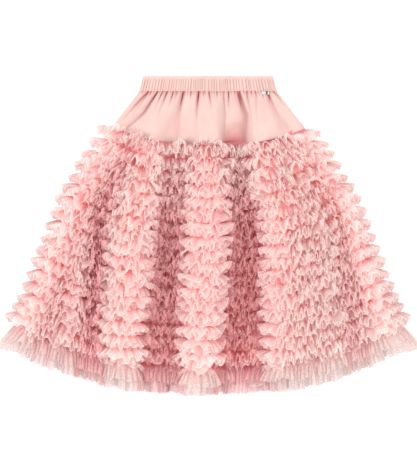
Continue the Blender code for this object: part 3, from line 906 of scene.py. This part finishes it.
def thread_material():
    """Two-ply cotton thread: its twist shows as slanting bands."""
    made, tree, shader = new_material("peach thread", 0.6)
    where = new_node(tree, "ShaderNodeTexCoord").outputs["Object"]
    twist = new_node(tree, "ShaderNodeTexWave", {"Vector": where, "Scale": 600.0},
                     bands_direction="DIAGONAL")
    colour = mixed(tree, twist.outputs["Fac"], (0.72, 0.38, 0.32), (0.86, 0.54, 0.47))
    tree.links.new(colour, shader.inputs["Base Color"])
    return made


stitch_row = stitching_tree()
thread = thread_material()


def casing_line(tall, count):
    """Points along the front of the waistband at this share of its height, on its ribs."""
    half = 0.5 * BAND_THICK
    round_trip = 2 * (BAND_TALL - 2 * half) + 2 * np.pi * half
    turn = (tall * BAND_TALL - half) / round_trip
    u = np.linspace(-0.985, 0.985, count)
    return casing(u, np.full_like(u, turn), FRONT_REST, RIB_HIGH)


for name, tall in (("stitches_waist_seam", SEAM_ROW + 0.005), ("stitches_heading", HEADING + 0.05)):
    points = casing_line(tall, 900)
    mesh = bpy.data.meshes.new(name)
    mesh.from_pydata(points.tolist(), [(i, i + 1) for i in range(len(points) - 1)], [])
    made = put_in_scene(name, mesh)
    run_tree(made, stitch_row, step=3.0 * MM, stitch_length=2.3 * MM, thread_width=0.5 * MM, finish=thread)
    lay_down(made, "yoke_cloth")


# ----------------------------------------------------------------------------
# Label. A short piece of off-white woven tape with one plain dark stripe, folded over and caught by its
# two ends in the waist seam, so that the fold hangs on the yoke.
# ----------------------------------------------------------------------------

label_low, label_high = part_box("loop_label")
LABEL_PLY = 0.32 * MM
STRIPE_MIDDLE, STRIPE_WIDE = 2.6 * MM, 4.2 * MM     # right of the tape's middle
CUP = 0.25 * MM                                     # its selvedges curl up by this


def tape_material():
    """Woven tape with a dark stripe across it."""
    made = woven_material("label tape", dark=(0.50, 0.50, 0.48), light=(0.62, 0.62, 0.60),
                          deep=(0.40, 0.40, 0.38), threads=3000, roughness=0.6, bump=0.3)
    tree = made.node_tree
    colour = tree.nodes["Principled BSDF"].inputs["Base Color"]
    along = new_node(tree, "ShaderNodeSeparateXYZ", {0: on_cloth(tree)}).outputs[0]
    stripe = new_node(tree, "ShaderNodeMath", {0: along, 1: STRIPE_MIDDLE, 2: STRIPE_WIDE / 2},
                      operation="COMPARE")
    dyed = mixed(tree, stripe.outputs[0], colour.links[0].from_socket, (0.10, 0.10, 0.11))
    tree.links.new(dyed, colour)
    return made


around = np.linspace(0, 1, 23)
fold_radius = (label_high.z - label_low.z - LABEL_PLY) / 2
run_down = label_high.y - label_low.y - fold_radius - LABEL_PLY / 2
path = around * (2 * run_down + np.pi * fold_radius)
bend = np.clip((path - run_down) / fold_radius, 0, np.pi)
back_run = np.clip(path - run_down - np.pi * fold_radius, 0, None)
y = label_high.y - np.minimum(path, run_down) - fold_radius * np.sin(bend) + back_run
z = (label_low.z + label_high.z) / 2 + fold_radius * np.cos(bend)
x = np.linspace(label_low.x, label_high.x, 13)
points = np.stack(np.broadcast_arrays(x[None, :], y[:, None], z[:, None]), axis=-1).copy()
points[:, :, 2] += CUP * (np.abs(x - x.mean()) / (x.max() - x.mean()))[None, :] ** 2
label = grid_object("folded_label", points, cloth_uv(points))
label.data.materials.append(tape_material())
wall = label.modifiers.new("tape", "SOLIDIFY")
wall.thickness = LABEL_PLY
wall.offset = 0
lay_down(label, "label_tape", "loop_label")


# ----------------------------------------------------------------------------
# Studio. A pale sheet of paper under the skirt, an even sky and a wide soft box to either side.
# ----------------------------------------------------------------------------

paper, tree, shader = new_material("pale paper", 0.9)
spot = new_node(tree, "ShaderNodeTexCoord")
grain = new_node(tree, "ShaderNodeTexNoise", {"Vector": spot.outputs["Object"], "Scale": 40})
tone = mixed(tree, grain.outputs["Fac"], (0.93, 0.93, 0.93), (0.95, 0.95, 0.95))
tree.links.new(tone, shader.inputs["Base Color"])
shader.inputs["Emission Color"].default_value = (1, 1, 1, 1)
shader.inputs["Emission Strength"].default_value = 0.12

mesh = bpy.data.meshes.new("floor")
builder = bmesh.new()
bmesh.ops.create_grid(builder, x_segments=1, y_segments=1, size=6)
builder.to_mesh(mesh)
builder.free()
floor = put_in_scene("floor", mesh)
floor.location.z = -0.2 * MM
mesh.materials.append(paper)

world = bpy.data.worlds.new("studio sky")
world.use_nodes = True
sky = world.node_tree.nodes["Background"].inputs
sky["Color"].default_value = (1, 1, 1, 1)
sky["Strength"].default_value = 0.74
bpy.context.scene.world = world

LAMP_AWAY, LAMP_BEYOND, LAMP_HIGH, LAMP_SIZE = 1.9, 0.4, 2.2, 1.2
for name, side, power in (("soft box left", -1, 57), ("soft box right", 1, 50)):
    lamp = bpy.data.lights.new(name, "AREA")
    lamp.shape = "SQUARE"
    lamp.size = LAMP_SIZE
    lamp.energy = power
    box = put_in_scene(name, lamp)
    box.location = (side * LAMP_AWAY, LAMP_BEYOND, LAMP_HIGH)
    box.rotation_euler = (-math.atan2(LAMP_BEYOND, LAMP_HIGH), side * math.atan2(LAMP_AWAY, LAMP_HIGH), 0)

# The camera looks straight down on a view that is 459 steps of 1.9 mm tall at the skirt's middle height
STEP = 1.9 * MM
VIEW_TALL = 459
VIEW_MIDDLE = (0.5, 5.7)    # right of and beyond the skirt's middle
MIDDLE_HEIGHT = 20 * MM
camera_data = bpy.data.cameras.new("overhead")
camera_data.lens = 200
camera_data.sensor_width = 36
camera_data.clip_end = 20
distance = VIEW_TALL * STEP * camera_data.lens / camera_data.sensor_width
camera = put_in_scene("overhead", camera_data)
camera.location = (VIEW_MIDDLE[0] * STEP, VIEW_MIDDLE[1] * STEP, distance + MIDDLE_HEIGHT)
bpy.context.scene.camera = camera
bpy.context.scene.view_settings.view_transform = "Standard"
